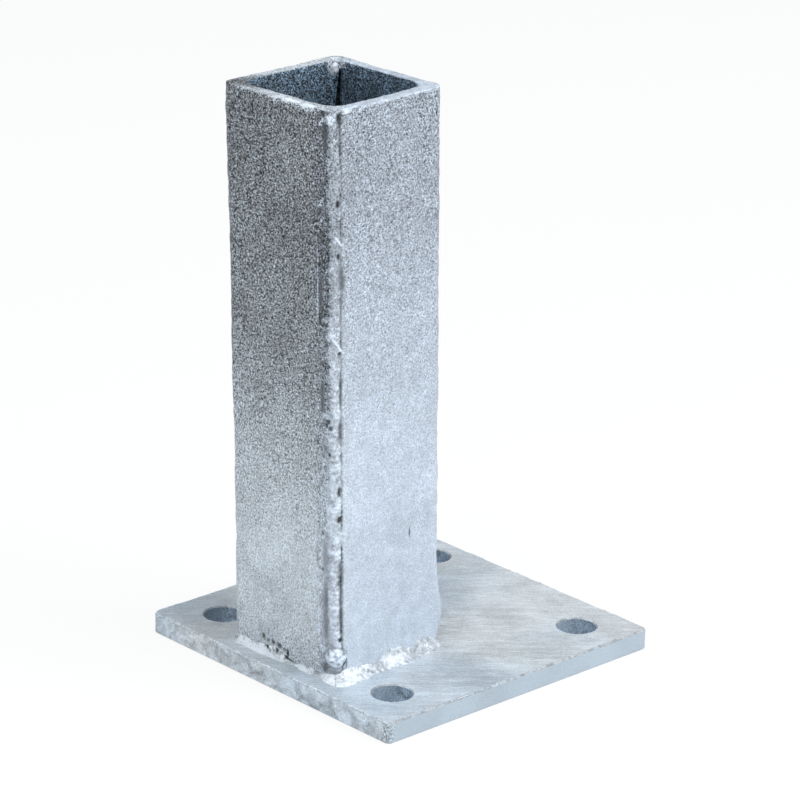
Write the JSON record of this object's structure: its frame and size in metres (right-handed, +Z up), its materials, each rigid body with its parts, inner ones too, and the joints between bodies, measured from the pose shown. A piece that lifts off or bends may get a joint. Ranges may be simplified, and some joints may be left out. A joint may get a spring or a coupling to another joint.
{
  "type": "timber post base",
  "caption": "Galvanised steel post base: a thick square anchor plate with an upright open-topped square box, welded from rolled angles, that holds the foot of a timber post.",
  "frame": {"origin": "centre of the square plate's underside", "axes": "+Z up, the box stands towards the -X edge of the plate, turned 2.4 degrees and leaning about 1 degree as welded, -Y is the front"},
  "size_m": [0.16, 0.16, 0.27],
  "materials": {
    "plate_zinc": "hot-dip galvanised flat plate, smooth matt zinc with fine drawn streaks and a rough sheared edge",
    "angle_zinc": "hot-dip galvanised rolled angle, matt grey zinc with a fine pebbled grain",
    "weld_zinc": "galvanised weld bead, rippled and lumpy with bright zinc runs and dark pits"
  },
  "bodies": {
    "root": {"base_plate": "plate_zinc", "angle_back_left": "angle_zinc", "angle_front_right": "angle_zinc", "seam_weld_front_left": "weld_zinc", "seam_weld_back_right": "weld_zinc", "foot_weld_left": "weld_zinc", "foot_weld_front": "weld_zinc", "foot_weld_right": "weld_zinc", "foot_weld_back": "weld_zinc"}
  },
  "joints": []
}
